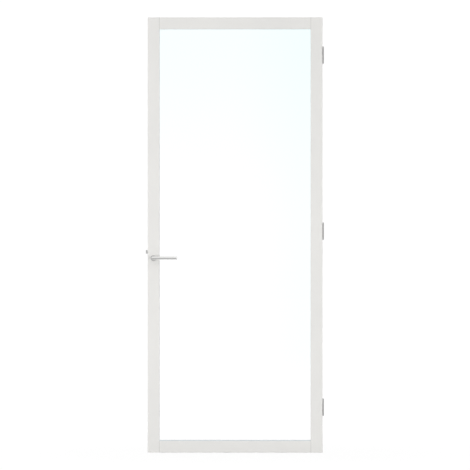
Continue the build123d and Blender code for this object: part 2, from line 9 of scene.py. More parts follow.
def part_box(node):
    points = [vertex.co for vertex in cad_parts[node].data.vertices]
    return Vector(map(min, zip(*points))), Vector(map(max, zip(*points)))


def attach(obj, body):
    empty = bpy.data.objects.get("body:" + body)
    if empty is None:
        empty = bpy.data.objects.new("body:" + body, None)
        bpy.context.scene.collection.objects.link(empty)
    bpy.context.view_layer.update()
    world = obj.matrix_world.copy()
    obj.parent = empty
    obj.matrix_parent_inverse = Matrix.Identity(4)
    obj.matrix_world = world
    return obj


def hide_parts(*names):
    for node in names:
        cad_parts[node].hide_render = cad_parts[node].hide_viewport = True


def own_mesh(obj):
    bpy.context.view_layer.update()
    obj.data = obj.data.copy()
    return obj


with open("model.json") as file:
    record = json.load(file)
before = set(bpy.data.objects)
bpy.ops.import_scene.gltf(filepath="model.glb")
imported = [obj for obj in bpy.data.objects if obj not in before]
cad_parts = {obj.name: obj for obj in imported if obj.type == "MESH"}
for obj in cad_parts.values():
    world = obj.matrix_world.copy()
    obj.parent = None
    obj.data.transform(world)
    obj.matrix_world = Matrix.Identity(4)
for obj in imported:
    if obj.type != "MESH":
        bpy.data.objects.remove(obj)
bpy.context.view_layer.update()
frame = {"nodes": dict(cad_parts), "record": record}

# One millimetre in the scene's metres
MM = 0.001

# Turn between two faces from which their edge counts as sharp
FACET_TURN = math.radians(32)

# Sides of a round bar and of a screw
ROUND_SIDES = 56
SCREW_SIDES = 32

# How far a cutter reaches past a face, and the play of a screw or pin in its hole
OVERRUN = 1 * MM
BORE_PLAY = 0.05 * MM

# Slack of a test on where a point lies, and the least part of a normal along the way it faces
NEAR = 0.01 * MM
FACING = 0.9

# Distances within which points are welded, after a mitre and after cuts
MITRE_WELD = 0.02 * MM
CUT_WELD = 0.002 * MM

# Mirror through the middle plane of the leaf's thickness
MIRROR = Matrix.Scale(-1, 4, (0, 1, 0))

# The three hinges, as their nodes are named
HINGE_NAMES = ("bottom", "middle", "top")


# Working with pieces


def only(piece):
    """Select one piece alone and make it the active one."""
    bpy.ops.object.select_all(action="DESELECT")
    piece.select_set(True)
    bpy.context.view_layer.objects.active = piece


def settle(piece, name):
    """Name a piece and put its place into its mesh."""
    only(piece)
    bpy.ops.object.transform_apply(location=True, rotation=True, scale=True)
    piece.name = name
    piece.data.name = name
    return piece


def add_box(name, low, high):
    """Box between two corners."""
    low, high = Vector(low), Vector(high)
    bpy.ops.object.select_all(action="DESELECT")
    bpy.ops.mesh.primitive_cube_add(size=1, location=(low + high) / 2)
    piece = bpy.context.object
    piece.scale = high - low
    return settle(piece, name)


def add_bar(name, radius, start, end, sides=ROUND_SIDES):
    """Round bar from one point to another."""
    start, end = Vector(start), Vector(end)
    along = end - start
    turn = along.to_track_quat("Z", "Y").to_euler()
    bpy.ops.object.select_all(action="DESELECT")
    bpy.ops.mesh.primitive_cylinder_add(
        vertices=sides, radius=radius, depth=along.length,
        location=(start + end) / 2, rotation=turn)
    return settle(bpy.context.object, name)


def open_mesh(piece):
    """Enter edit mode with nothing selected."""
    only(piece)
    bpy.ops.object.mode_set(mode="EDIT")
    bpy.ops.mesh.select_all(action="DESELECT")


def close_mesh():
    """Leave edit mode."""
    bpy.ops.object.mode_set(mode="OBJECT")


def pick_faces(piece, wanted):
    """In edit mode, select the faces that a test of centre and normal accepts."""
    bpy.ops.mesh.select_all(action="DESELECT")
    bpy.ops.mesh.select_mode(type="FACE")
    mesh = bmesh.from_edit_mesh(piece.data)
    mesh.normal_update()
    for face in mesh.faces:
        face.select_set(wanted(face.calc_center_median(), face.normal))
    bmesh.update_edit_mesh(piece.data)


def pick_edges(piece, wanted):
    """In edit mode, select the edges whose two ends a test accepts."""
    bpy.ops.mesh.select_all(action="DESELECT")
    bpy.ops.mesh.select_mode(type="EDGE")
    mesh = bmesh.from_edit_mesh(piece.data)
    for edge in mesh.edges:
        edge.select_set(wanted(edge.verts[0].co, edge.verts[1].co))
    bmesh.update_edit_mesh(piece.data)


def extrude_by(x, y, z):
    """In edit mode, extrude what is selected by a step."""
    bpy.ops.mesh.extrude_region_move(TRANSFORM_OT_translate={"value": (x, y, z)})


def round_off(width, segments):
    """In edit mode, bevel the selected edges."""
    bpy.ops.mesh.bevel(offset=width, segments=segments, affect="EDGES")


def weld(distance):
    """In edit mode, merge the points that lie on each other."""
    bpy.ops.mesh.select_all(action="SELECT")
    bpy.ops.mesh.remove_doubles(threshold=distance)


def face_outward():
    """In edit mode, turn every face outward."""
    bpy.ops.mesh.select_all(action="SELECT")
    bpy.ops.mesh.normals_make_consistent(inside=False)


def trim(piece, point, normal):
    """Cut away what lies beyond a plane and close the cut."""
    open_mesh(piece)
    bpy.ops.mesh.select_all(action="SELECT")
    bpy.ops.mesh.bisect(plane_co=point, plane_no=normal, clear_outer=True, use_fill=True)
    face_outward()
    close_mesh()


def break_edges(piece, width, segments, turn=FACET_TURN):
    """Round every edge sharper than a turn."""
    only(piece)
    bevel = piece.modifiers.new("edge", "BEVEL")
    bevel.width = width
    bevel.segments = segments
    bevel.limit_method = "ANGLE"
    bevel.angle_limit = turn
    bevel.harden_normals = False
    bpy.ops.object.modifier_apply(modifier="edge")
    return piece


def combine(piece, other, how):
    """Join or cut one piece with another, which is used up."""
    only(piece)
    cut = piece.modifiers.new("cut", "BOOLEAN")
    cut.operation = how
    cut.solver = "EXACT"
    cut.object = other
    bpy.ops.object.modifier_apply(modifier="cut")
    bpy.data.objects.remove(other, do_unlink=True)
    return piece


def soften(piece):
    """Smooth the round stretches, keep flat faces flat and leave the sharp edges sharp."""
    only(piece)
    bpy.ops.object.shade_smooth_by_angle(angle=FACET_TURN)
    level = piece.modifiers.new("level", "WEIGHTED_NORMAL")
    level.keep_sharp = True
    level.weight = 100
    bpy.ops.object.modifier_apply(modifier="level")
    return piece


def copy_of(piece, name, change):
    """Copy of a piece with its own mesh, moved by a matrix."""
    other = piece.copy()
    other.data = piece.data.copy()
    other.name = name
    other.data.transform(change)
    if change.determinant() < 0:
        other.data.flip_normals()
    bpy.context.scene.collection.objects.link(other)
    return other


def turned_to(side):
    """Matrix that turns +Z to face -X or +X."""
    return Vector((side, 0, 0)).to_track_quat("Z", "Y").to_matrix().to_4x4()


def gather(pieces, name):
    """Join several pieces into one."""
    bpy.ops.object.select_all(action="DESELECT")
    for piece in pieces:
        piece.select_set(True)
    bpy.context.view_layer.objects.active = pieces[0]
    bpy.ops.object.join()
    joined = bpy.context.object
    joined.name = name
    joined.data.name = name
    return joined


def hand_over(piece, body, slot, *nodes):
    """Give a finished piece its body, its finish and the nodes that it stands for."""
    piece.data.materials.clear()
    piece.data.materials.append(finishes[slot])
    soften(piece)
    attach(piece, body)
    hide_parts(*nodes)


# Shader nodes. An owner is a material or a world.

# Fineness of every noise, and the part of its range that is spread out
NOISE_ROUGHNESS = 0.55
NOISE_START, NOISE_STOP = 0.3, 0.7


def feed(owner, socket, value):
    """Give a socket a plain value or another node's output."""
    if isinstance(value, bpy.types.NodeSocket):
        owner.node_tree.links.new(value, socket)
    else:
        socket.default_value = value


def add_node(owner, kind, inputs=None, **settings):
    """Node with its settings made and its inputs fed."""
    node = owner.node_tree.nodes.new(f"ShaderNode{kind}")
    for key, value in settings.items():
        setattr(node, key, value)
    for key, value in (inputs or {}).items():
        feed(owner, node.inputs[key], value)
    return node


def worked(owner, operation, first, second=0.0):
    """Result of a piece of arithmetic on one or two values."""
    return add_node(owner, "Math", {0: first, 1: second}, operation=operation).outputs["Value"]


def ranged(owner, value, start, stop, low=0.0, high=1.0, shape="LINEAR"):
    """Value taken from one range to another, and held at its ends."""
    return add_node(owner, "MapRange", {
        "Value": value, "From Min": start, "From Max": stop, "To Min": low, "To Max": high,
    }, interpolation_type=shape).outputs["Result"]


def smooth_step(owner, value, start, stop):
    """Soft rise from 0 to 1 while a value goes from start to stop."""
    return ranged(owner, value, start, stop, shape="SMOOTHSTEP")


def mixed(owner, factor, first, second, kind="FLOAT"):
    """Value or colour between two others."""
    return add_node(owner, "Mix", {"Factor": factor, "A": first, "B": second},
                    data_type=kind).outputs["Result"]


def noise(owner, vector, scale, detail=3.0):
    """Noise value read at a vector."""
    return add_node(owner, "TexNoise", {
        "Vector": vector, "Scale": scale, "Detail": detail, "Roughness": NOISE_ROUGHNESS,
    }).outputs["Fac"]


def spread(owner, value, low=0.0, high=1.0):
    """A noise value spread between two numbers."""
    return ranged(owner, value, NOISE_START, NOISE_STOP, low, high)


# Finishes

# Joints between rails and stiles: the flange in front of them, and the core and edge of the dark
# line painted along them, which stands for the shade in their hairline gaps and the dirt caught
# there
FLANGE_T = 3 * MM
JOINT_CORE = 0.15 * MM
JOINT_EDGE = 0.75 * MM
JOINT_SHADE_COLOUR = (0.3, 0.3, 0.29)

# Painted reflection on the glass: a cool tint that stands for the studio mirrored in the pane. It
# rises towards the top between two heights, and towards the hinge side between two places, there
# only above the foot. Each has its share. Places are in metres.
PAINTED_REFLECTION_TOP, PAINTED_REFLECTION_TOP_SHARE = (1.15, 2.35), 0.6
PAINTED_REFLECTION_SIDE, PAINTED_REFLECTION_SIDE_SHARE = (-0.05, 0.45), 0.4
PAINTED_REFLECTION_SIDE_FOOT = (0.2, 0.6)
CLEAR = (1.0, 1.0, 1.0)
PAINTED_REFLECTION_COLOUR = (0.889, 1.0, 1.0)
GLASS_IOR = 1.5

# Clouds on polished steel: their scale, and the shades against the steel's own colour
STEEL_CLOUD = 35
STEEL_DARK, STEEL_LIGHT = 0.95, 1.04


def start_material(name, colour, metallic, roughness):
    """Principled material with its object coordinates at hand."""
    material = bpy.data.materials.new(name)
    material.use_nodes = True
    material.diffuse_color = (*colour, 1)
    inputs = surface(material).inputs
    inputs["Base Color"].default_value = (*colour, 1)
    inputs["Metallic"].default_value = metallic
    inputs["Roughness"].default_value = roughness
    add_node(material, "TexCoord", name="place")
    return material


def surface(material):
    """The material's principled shader."""
    return material.node_tree.nodes["Principled BSDF"]


def spot(material):
    """Object coordinates."""
    return material.node_tree.nodes["place"].outputs["Object"]


def stretched(material, scale):
    """Object coordinates stretched along the axes."""
    return add_node(material, "Mapping", {
        "Vector": spot(material), "Scale": scale}).outputs["Vector"]


def tint(material, value, dark, light):
    """Base colour between two colours by a value."""
    colour = mixed(material, value, (*dark, 1), (*light, 1), "RGBA")
    feed(material, surface(material).inputs["Base Color"], colour)


def shade_line(material, value, colour):
    """Base colour turned towards another where a value is high."""
    socket = surface(material).inputs["Base Color"]
    shaded = mixed(material, value, socket.links[0].from_socket, (*colour, 1), "RGBA")
    feed(material, socket, shaded)


def vary_roughness(material, value, low, high):
    """Roughness between two numbers by a noise value."""
    feed(material, surface(material).inputs["Roughness"], spread(material, value, low, high))


def grain(material, value, depth):
    """Relief of a given depth from a value."""
    bump = add_node(material, "Bump", {"Strength": 1.0, "Distance": depth, "Height": value})
    feed(material, surface(material).inputs["Normal"], bump.outputs["Normal"])


def mottled(name, colour, metallic, roughness, cloud, dark, light, relief, depth, detail=2.0):
    """Finish with two close shades in clouds, and a fine relief over them."""
    material = start_material(name, colour, metallic, roughness)
    tint(material, spread(material, noise(material, spot(material), cloud)), dark, light)
    grain(material, noise(material, spot(material), relief, detail), depth)
    return material


def joint_shade_line(material):
    """Value that is 1 along the hairline joints between rails and stiles, where their shade is
    painted, and 0 elsewhere.
    """
    split = add_node(material, "SeparateXYZ", {"Vector": spot(material)}).outputs
    rail_low, rail_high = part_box("top_rail")
    flange_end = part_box("hinge_stile")[0].x
    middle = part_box("hinge_stile")[1].z / 2
    behind = worked(material, "GREATER_THAN", split["Y"], rail_low.y + FLANGE_T)
    plane = worked(material, "MULTIPLY", behind, rail_high.x - flange_end)
    plane = worked(material, "ADD", plane, flange_end)
    across = worked(material, "ABSOLUTE", split["X"])
    off = worked(material, "ABSOLUTE", worked(material, "SUBTRACT", across, plane))
    height = worked(material, "ABSOLUTE", worked(material, "SUBTRACT", split["Z"], middle))
    along = worked(material, "GREATER_THAN", height, rail_low.z - middle)
    line = smooth_step(material, off, JOINT_EDGE, JOINT_CORE)
    return worked(material, "MULTIPLY", line, along)


def powder_coat():
    """Satin off-white powder coat with a fine orange peel, and painted shade along the hairline
    joints.
    """
    material = mottled(
        "off_white_powder_coat", (0.776, 0.768, 0.748), metallic=0.0, roughness=0.42,
        cloud=2.2, dark=(0.762, 0.756, 0.738), light=(0.79, 0.782, 0.76),
        relief=620, depth=0.035 * MM)
    # Painted shade: a dark line along the joints for the shade in their hairline gaps and the dirt
    # there
    shade_line(material, joint_shade_line(material), JOINT_SHADE_COLOUR)
    vary_roughness(material, noise(material, spot(material), scale=45), low=0.36, high=0.47)
    return material


def float_glass():
    """Clear float glass, slightly wavy, with a painted reflection: a cool tint towards its top and
    hinge side.
    """
    material = start_material("clear_float_glass", CLEAR, metallic=0.0, roughness=0.0)
    surface(material).inputs["Transmission Weight"].default_value = 1.0
    surface(material).inputs["IOR"].default_value = GLASS_IOR
    split = add_node(material, "SeparateXYZ", {"Vector": spot(material)}).outputs
    # The cool tint from here on is a painted reflection of the studio, not the glass's own colour
    top = smooth_step(material, split["Z"], *PAINTED_REFLECTION_TOP)
    top = worked(material, "MULTIPLY", top, PAINTED_REFLECTION_TOP_SHARE)
    side = smooth_step(material, split["X"], *PAINTED_REFLECTION_SIDE)
    side = worked(material, "MULTIPLY", side, smooth_step(material, split["Z"], *PAINTED_REFLECTION_SIDE_FOOT))
    side = worked(material, "MULTIPLY", side, PAINTED_REFLECTION_SIDE_SHARE)
    tint(material, worked(material, "ADD", top, side), CLEAR, PAINTED_REFLECTION_COLOUR)
    grain(material, noise(material, spot(material), scale=3.5, detail=1.0), depth=0.02 * MM)
    return material


def satin_steel(name, colour, stretch, smoothest, roughest, depth):
    """Steel whose polishing marks run along the axis with the small stretch."""
    material = start_material(name, colour, metallic=1.0, roughness=(smoothest + roughest) / 2)
    marks = noise(material, stretched(material, stretch), scale=1.0, detail=4.0)
    cloud = noise(material, spot(material), STEEL_CLOUD, detail=2.0)
    vary_roughness(material, marks, smoothest, roughest)
    tint(material, spread(material, cloud),
         dark=tuple(c * STEEL_DARK for c in colour),
         light=tuple(min(1, c * STEEL_LIGHT) for c in colour))
    grain(material, marks, depth)
    return material


def plated_zinc():
    """Clear zinc plating, slightly cloudy."""
    material = mottled(
        "clear_zinc_plate", (0.62, 0.64, 0.66), metallic=1.0, roughness=0.34,
        cloud=140, dark=(0.55, 0.57, 0.6), light=(0.69, 0.7, 0.71),
        relief=1500, depth=0.02 * MM)
    vary_roughness(material, noise(material, spot(material), scale=320), low=0.26, high=0.42)
    return material


def mill_aluminium():
    """Unpainted extrusion with lines along its length."""
    material = start_material("mill_aluminium", (0.72, 0.73, 0.74), metallic=1.0, roughness=0.36)
    lines = noise(material, stretched(material, (6, 900, 900)), scale=1.0)
    tint(material, spread(material, lines), dark=(0.66, 0.67, 0.69), light=(0.77, 0.78, 0.79))
    grain(material, lines, depth=0.03 * MM)
    return material


finishes = {
    "frame_paint": powder_coat(),
    "clear_glass": float_glass(),
    "gasket_rubber": mottled(
        "pale_grey_rubber", (0.62, 0.665, 0.68), metallic=0.0, roughness=0.62,
        cloud=60, dark=(0.595, 0.64, 0.66), light=(0.645, 0.69, 0.705),
        relief=900, depth=0.03 * MM),
    "lever_steel": satin_steel(
        "satin_lever_steel", (0.86, 0.86, 0.85), stretch=(30, 1400, 1400),
        smoothest=0.09, roughest=0.17, depth=0.003 * MM),
    "hinge_steel": satin_steel(
        "satin_hinge_steel", (0.84, 0.84, 0.83), stretch=(1600, 1600, 40),
        smoothest=0.24, roughest=0.36, depth=0.008 * MM),
    "zinc_steel": plated_zinc(),
    "spring_steel": mottled(
        "drawn_spring_wire", (0.42, 0.42, 0.43), metallic=1.0, roughness=0.28,
        cloud=260, dark=(0.34, 0.34, 0.36), light=(0.5, 0.5, 0.5),
        relief=2500, depth=0.02 * MM),
    "bronze": mottled(
        "sintered_bronze", (0.45, 0.29, 0.12), metallic=1.0, roughness=0.45,
        cloud=400, dark=(0.36, 0.22, 0.09), light=(0.52, 0.35, 0.16),
        relief=2600, depth=0.05 * MM, detail=3.0),
    "cleat_aluminium": mill_aluminium(),
    "white_nylon": mottled(
        "moulded_white_nylon", (0.72, 0.715, 0.69), metallic=0.0, roughness=0.48,
        cloud=90, dark=(0.69, 0.685, 0.66), light=(0.745, 0.74, 0.72),
        relief=1800, depth=0.04 * MM),
    "block_plastic": mottled(
        "packer_plastic", (0.05, 0.058, 0.07), metallic=0.0, roughness=0.5,
        cloud=120, dark=(0.04, 0.048, 0.06), light=(0.062, 0.07, 0.083),
        relief=1200, depth=0.04 * MM),
}


def dress_cad_nodes():
    """Give every node of the frame the finish of its slot."""
    for row in frame["record"]["subparts"]:
        mesh = frame["nodes"][row["node"]].data
        mesh.materials.clear()
        mesh.materials.append(finishes[row["material_slot"]])
    frame["nodes"]["glass_pane"].visible_shadow = False


# Handle set

# Lever: rounding of its end, the mitre's least slant and reach, and the spindle's bore
BAR_END_ROUND = 1.2 * MM
MITRE_SLANT = 0.6
MITRE_CLOSE = 1 * MM
SPINDLE_PLAY = 0.05 * MM
SPINDLE_DEPTH = 34 * MM

# Rose: its rim's rounding, the edge and play of its hole, and its wall
ROSE_SIDES = 80
ROSE_ROUND = 1.6 * MM
ROSE_HOLE_BREAK = 0.3 * MM
ROSE_WALL = 1.5 * MM
ROSE_HOLE_GAP = 0.3 * MM

# Set screw's hexagon socket and edges
SOCKET_DEPTH = 1.8 * MM
SOCKET_SIDES = 6
SET_SCREW_BREAK = 0.15 * MM


def front_lever():
    """Round bar mitred to its neck, with a rounded end and bores for spindle and set screw."""
    low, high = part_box("lever_front")
    spindle_low, spindle_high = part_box("spindle")
    grub_low, grub_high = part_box("grub_screws")
    radius = (high.z - low.z) / 2
    axis_x, axis_z = low.x + radius, (low.z + high.z) / 2
    corner = Vector((axis_x, low.y + radius, axis_z))
    reach = 2 * radius
    neck = add_bar("neck", radius, (axis_x, high.y, axis_z), corner - Vector((0, reach, 0)))
    bar = add_bar("bar", radius, corner - Vector((reach, 0, 0)), (high.x, corner.y, axis_z))
    trim(neck, corner, (1, -1, 0))
    trim(bar, corner, (-1, 1, 0))
    open_mesh(bar)
    pick_edges(bar, lambda a, b: min(a.x, b.x) > high.x - NEAR)
    round_off(BAR_END_ROUND, segments=5)
    close_mesh()

    def on_mitre(centre, normal):
        slanted = abs(normal.x) > MITRE_SLANT and abs(normal.y) > MITRE_SLANT
        return slanted and (centre - corner).length < MITRE_CLOSE

    for piece in (neck, bar):
        open_mesh(piece)
        pick_faces(piece, on_mitre)
        bpy.ops.mesh.delete(type="ONLY_FACE")
        close_mesh()
    lever = gather([neck, bar], "lever_bar")
    open_mesh(lever)
    weld(MITRE_WELD)
    face_outward()
    close_mesh()

    side = (spindle_high.x - spindle_low.x) / 2 + SPINDLE_PLAY
    bore = add_box("bore", (axis_x - side, high.y - SPINDLE_DEPTH, axis_z - side),
                   (axis_x + side, high.y + OVERRUN, axis_z + side))
    combine(lever, bore, "DIFFERENCE")
    grub_r = (grub_high.x - grub_low.x) / 2
    grub_y = grub_low.y + grub_r
    hole = add_bar("hole", grub_r, (axis_x, grub_y, low.z - OVERRUN),
                   (axis_x, grub_y, axis_z - side / 2), SCREW_SIDES)
    return combine(lever, hole, "DIFFERENCE")


def front_rose():
    """Round cover with a rounded rim, hollow behind and open for the neck."""
    low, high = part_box("rose_cap_front")
    lever_low, lever_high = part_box("lever_front")
    radius = (high.z - low.z) / 2
    hole_r = (lever_high.z - lever_low.z) / 2 + ROSE_HOLE_GAP
    centre = (low + high) / 2
    depth = high.y - low.y
    floor_y = low.y + ROSE_WALL
    rose = add_bar("rose", radius, (centre.x, high.y, centre.z), (centre.x, low.y, centre.z),
                   ROSE_SIDES)
    open_mesh(rose)
    pick_faces(rose, lambda c, n: n.y < -FACING)
    bpy.ops.mesh.inset(thickness=radius - hole_r)
    extrude_by(0, ROSE_WALL, 0)
    pick_faces(rose, lambda c, n: n.y > FACING)
    bpy.ops.mesh.inset(thickness=ROSE_WALL)
    extrude_by(0, ROSE_WALL - depth, 0)

    def on_floor(point):
        return abs(point.y - floor_y) < NEAR

    def on_front(a, b):
        return max(a.y, b.y) < low.y + NEAR

    def out(point):
        return math.hypot(point.x - centre.x, point.z - centre.z)

    pick_faces(rose, lambda c, n: abs(n.y) > FACING and on_floor(c))
    bpy.ops.mesh.delete(type="FACE")
    pick_edges(rose, lambda a, b: on_floor(a) and on_floor(b))
    bpy.ops.mesh.bridge_edge_loops()
    pick_edges(rose, lambda a, b: on_front(a, b) and min(out(a), out(b)) > radius - NEAR)
    round_off(ROSE_ROUND, segments=5)
    pick_edges(rose, lambda a, b: on_front(a, b) and max(out(a), out(b)) < hole_r + NEAR)
    round_off(ROSE_HOLE_BREAK, segments=2)
    face_outward()
    close_mesh()
    return rose


def handle_pieces():
    """Levers and roses on both faces, the rear ones mirror images of the front ones."""
    for make, body, node in (
            (front_lever, "handle_set", "lever"),
            (front_rose, "leaf", "rose_cap")):
        front = make()
        rear = copy_of(front, f"{node}_rear_turned", MIRROR)
        front.name = f"{node}_front_turned"
        hand_over(front, body, "lever_steel", f"{node}_front")
        hand_over(rear, body, "lever_steel", f"{node}_rear")


def set_screws():
    """Headless set screws with a hexagon socket, seen from below."""
    low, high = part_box("grub_screws")
    radius = (high.x - low.x) / 2
    x, y = (low.x + high.x) / 2, low.y + radius
    screw = add_bar("screw", radius, (x, y, high.z), (x, y, low.z), SCREW_SIDES)
    socket = add_bar("socket", radius / 2, (x, y, low.z - OVERRUN), (x, y, low.z + SOCKET_DEPTH),
                     SOCKET_SIDES)
    combine(screw, socket, "DIFFERENCE")
    break_edges(screw, SET_SCREW_BREAK, segments=1)
    both = gather([screw, copy_of(screw, "rear", MIRROR)], "set_screws")
    hand_over(both, "handle_set", "hinge_steel", "grub_screws")


# Screws

SCREW_LEN = 7 * MM
SCREW_BREAK = 0.12 * MM
HEAD_LAND = 0.2 * MM
# Width of the point, as a share of the shank's
POINT_SHARE = 0.45
# Cross recess: half its length and half its arms' width as shares of the head's radius, and the
# width of its floor as a share of its mouth's
RECESS_DEPTH = 1.5 * MM
RECESS_REACH = 0.62
RECESS_ARM = 0.13
RECESS_FLOOR = 0.45
# Turn from one screw to the next in a group, in radians
SCREW_TURN = 0.7
BRACKET_SCREW_TURN = 1.1


def countersunk_screw(radius, head_r):
    """Countersunk screw with a cross recess, its head's top at the origin, pointing down."""
    taper = head_r - radius
    shrink = radius / head_r
    screw = add_bar("screw", head_r, (0, 0, -HEAD_LAND), (0, 0, 0), SCREW_SIDES)
    open_mesh(screw)
    pick_faces(screw, lambda c, n: n.z < -FACING)
    extrude_by(0, 0, -taper)
    bpy.ops.transform.resize(value=(shrink, shrink, 1), center_override=(0, 0, 0))
    extrude_by(0, 0, HEAD_LAND + taper - SCREW_LEN + radius)
    extrude_by(0, 0, -radius)
    bpy.ops.transform.resize(value=(POINT_SHARE, POINT_SHARE, 1), center_override=(0, 0, 0))
    close_mesh()
    reach, arm = RECESS_REACH * head_r, RECESS_ARM * head_r
    for wide, deep in ((reach, arm), (arm, reach)):
        wing = add_box("wing", (-wide, -deep, -RECESS_DEPTH), (wide, deep, OVERRUN))
        open_mesh(wing)
        pick_faces(wing, lambda c, n: n.z < -FACING)
        bpy.ops.transform.resize(value=(RECESS_FLOOR, RECESS_FLOOR, 1), center_override=(0, 0, 0))
        close_mesh()
        combine(screw, wing, "DIFFERENCE")
    return break_edges(screw, SCREW_BREAK, segments=1)


def placed_screws(name, screw, places, outward, turn_step=SCREW_TURN):
    """Copies of a screw at their places, each turned a little more, facing -X or +X."""
    copies = []
    for number, place in enumerate(places):
        turn = Matrix.Rotation(number * turn_step, 4, "Z")
        copies.append(copy_of(screw, name, Matrix.Translation(place) @ turned_to(outward) @ turn))
    bpy.data.objects.remove(screw, do_unlink=True)
    return gather(copies, name)


def sink_cutter(screw_r, head_r, place, side, depth):
    """Countersunk hole along X for a screw that is driven towards -X or +X."""
    x, y, z = place
    head_r, hole_r = head_r + BORE_PLAY, screw_r + BORE_PLAY
    shrink = hole_r / head_r
    cutter = add_bar("sink", head_r, (x - side * OVERRUN, y, z), (x + side * HEAD_LAND, y, z),
                     SCREW_SIDES)
    open_mesh(cutter)
    pick_faces(cutter, lambda c, n: n.x * side > FACING)
    extrude_by(side * (head_r - hole_r), 0, 0)
    bpy.ops.transform.resize(value=(1, shrink, shrink), center_override=place)
    extrude_by(side * depth, 0, 0)
    close_mesh()
    return cutter


# Hinges

HINGE_LEN = 89 * MM
WASHER_T = 1 * MM
KNUCKLE_GAP = 0.3 * MM
SWING_GAP = 0.4 * MM

# Plates: thickness, distance from the pins' axis to the face towards the other plate, how far short
# of the axis the flat part ends, and how much of it each knuckle's root fills again
PLATE_T = 3 * MM
PLATE_OFFSET = 1.5 * MM
PLATE_ROOT = 4.2 * MM
ROOT_LEN = 4 * MM
PLATE_BREAK = 0.25 * MM

# Screw holes about the middle of a plate
HOLE_Y = (-6 * MM, 12 * MM)
HOLE_Z = (-32 * MM, 32 * MM)
HINGE_SCREW_R = 2.5 * MM
HINGE_HEAD_R = 4.6 * MM

# Pins: shank against head, the dome's share of the head's height, and the rounding of the tail
PIN_TO_HEAD = 4.0 / 6.5
DOME_SHARE = 0.75
TAIL_ROUND = 0.9 * MM


def pin_axis():
    """Place of the hinge pins and the radius of their heads, which is the knuckles' radius."""
    low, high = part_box("hinge_pin_middle")
    return (low.x + high.x) / 2, (low.y + high.y) / 2, (high.x - low.x) / 2


def hinge_level(name):
    """Height of the middle of a hinge."""
    low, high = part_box(f"hinge_jamb_plate_{name}")
    return (low.z + high.z) / 2


def knuckle_spans():
    """Height limits of the three knuckles about the middle of the hinge, from the bottom up."""
    tall = (HINGE_LEN - WASHER_T - KNUCKLE_GAP) / 3
    low = -HINGE_LEN / 2
    middle = low + tall + WASHER_T
    high = middle + tall + KNUCKLE_GAP
    return [(z, z + tall) for z in (low, middle, high)]


def hinge_half(side):
    """Plate with its rolled knuckles about Z=0; side is -1 on the leaf and +1 on the jamb."""
    axis_x, axis_y, knuckle_r = pin_axis()
    front_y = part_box("hinge_jamb_plate_middle")[0].y
    spans = knuckle_spans()
    own = spans[1::2] if side < 0 else spans[0::2]
    near = axis_x + side * PLATE_OFFSET
    far = near + side * PLATE_T
    left, right = min(near, far), max(near, far)
    root_y = axis_y - PLATE_ROOT
    half = HINGE_LEN / 2

    def along_pin(name, radius):
        return add_bar(name, radius, (axis_x, axis_y, -half - OVERRUN),
                       (axis_x, axis_y, half + OVERRUN))

    plate = add_box("plate", (left, front_y, -half), (right, root_y, half))
    combine(plate, along_pin("clear", knuckle_r + SWING_GAP), "DIFFERENCE")
    for z0, z1 in own:
        root = add_box("root", (left, root_y - ROOT_LEN, z0), (right, root_y, z1))
        combine(plate, root, "UNION")
        knuckle = add_bar("knuckle", knuckle_r, (axis_x, axis_y, z0), (axis_x, axis_y, z1))
        combine(plate, knuckle, "UNION")
    combine(plate, along_pin("bore", knuckle_r * PIN_TO_HEAD + BORE_PLAY), "DIFFERENCE")
    for y in HOLE_Y:
        for z in HOLE_Z:
            sink = sink_cutter(HINGE_SCREW_R, HINGE_HEAD_R, (near, y, z), side, PLATE_T + OVERRUN)
            combine(plate, sink, "DIFFERENCE")
    open_mesh(plate)
    weld(CUT_WELD)
    close_mesh()
    return break_edges(plate, PLATE_BREAK, segments=2)


def hinge_pin():
    """Pin with a domed head and a rounded tail, about the middle of its hinge."""
    low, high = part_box("hinge_pin_middle")
    axis_x, axis_y, head_r = pin_axis()
    level = hinge_level("middle")
    head_low = HINGE_LEN / 2
    head_high = high.z - level
    tail = low.z - level
    pin = add_bar("pin", head_r, (axis_x, axis_y, head_low), (axis_x, axis_y, head_high))
    open_mesh(pin)
    pick_faces(pin, lambda c, n: n.z < -FACING)
    bpy.ops.mesh.inset(thickness=head_r - head_r * PIN_TO_HEAD)
    extrude_by(0, 0, tail - head_low)
    pick_edges(pin, lambda a, b: min(a.z, b.z) > head_high - NEAR)
    round_off(DOME_SHARE * (head_high - head_low), segments=7)
    pick_edges(pin, lambda a, b: max(a.z, b.z) < tail + NEAR)
    round_off(TAIL_ROUND, segments=4)
    close_mesh()
    return pin


def hinge_pieces():
    """Plates, pins and screws of the three hinges."""
    models = {
        "hinge_leaf_plate": (hinge_half(-1), "leaf"),
        "hinge_jamb_plate": (hinge_half(1), "jamb_side"),
        "hinge_pin": (hinge_pin(), "jamb_side"),
    }
    for kind, (model, body) in models.items():
        for name in HINGE_NAMES:
            lift = Matrix.Translation((0, 0, hinge_level(name)))
            piece = copy_of(model, f"{kind}_{name}_finished", lift)
            hand_over(piece, body, "hinge_steel", f"{kind}_{name}")
        bpy.data.objects.remove(model, do_unlink=True)
    face_x = pin_axis()[0] - PLATE_OFFSET
    places = [(face_x, y, hinge_level(name) + z)
              for name in HINGE_NAMES for y in HOLE_Y for z in HOLE_Z]
    screw = countersunk_screw(HINGE_SCREW_R, HINGE_HEAD_R)
    screws = placed_screws("hinge_screws_finished", screw, places, 1)
    hand_over(screws, "leaf", "hinge_steel", "hinge_screws")


# Latch edge

# Screws: sizes, how far inside the ends of forend and case they stand, how far beyond the forend
# and off the middle the brackets' screws stand, and how deep the forend's holes go
EDGE_SCREW_R = 2.0 * MM
EDGE_HEAD_R = 3.8 * MM
END_SCREW_IN = 8 * MM
CASE_SCREW_IN = 5.5 * MM
BRACKET_SCREW_OUT = 7 * MM
BRACKET_SCREW_Y = 7.5 * MM
FOREND_HOLE_DEPTH = 3 * MM

